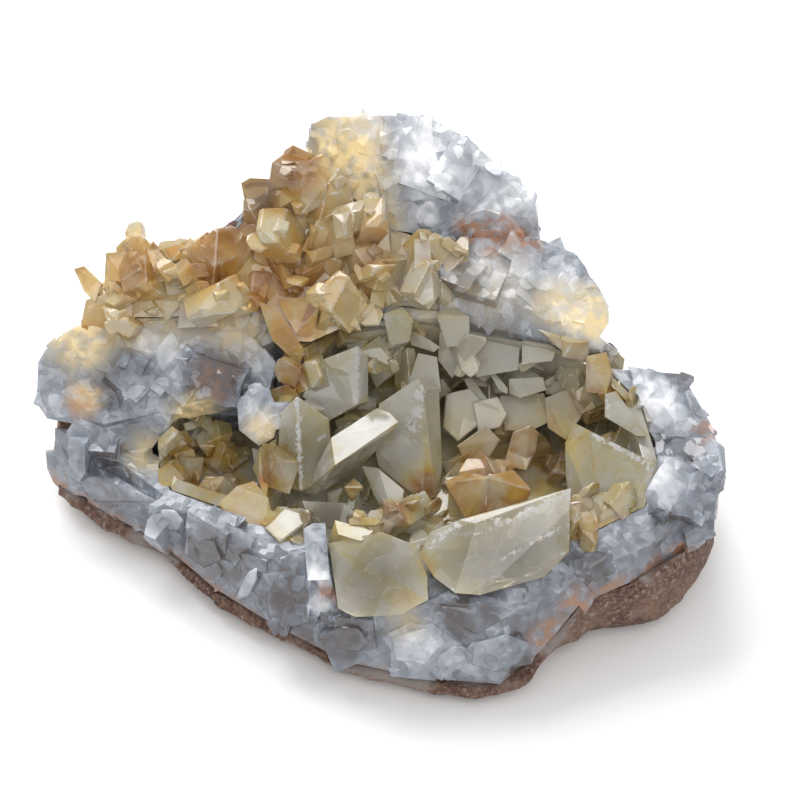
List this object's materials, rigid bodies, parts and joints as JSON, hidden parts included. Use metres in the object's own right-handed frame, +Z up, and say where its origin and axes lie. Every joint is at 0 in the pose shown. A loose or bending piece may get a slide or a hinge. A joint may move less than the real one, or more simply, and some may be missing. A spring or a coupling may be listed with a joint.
{
  "type": "celestite crystal cluster",
  "caption": "Broken geode piece: pale blue massive celestite on a brown rock rind, its hollow lined with clear tabular crystals, iron-stained amber at the left and back.",
  "frame": {"origin": "on the flat underside of the rock rind, under the middle of the piece's front half", "axes": "+X to the right along the longest side, +Y away from the open front, +Z up from the surface the piece rests on"},
  "size_m": [0.1698, 0.1359, 0.0824],
  "materials": {
    "host_rock": "rough, sandy, reddish brown",
    "massive_celestite": "broken, translucent pale blue-grey with frosted white faces",
    "cavity_crystals": "glassy clear crystal, grey-green to honey yellow",
    "stained_crystals": "glassy crystal with an iron stain, amber to brown"
  },
  "bodies": {
    "root": {"host_rock": "host_rock", "massive_celestite": "massive_celestite", "cavity_crystals": "cavity_crystals", "stained_crystals": "stained_crystals"}
  },
  "joints": []
}
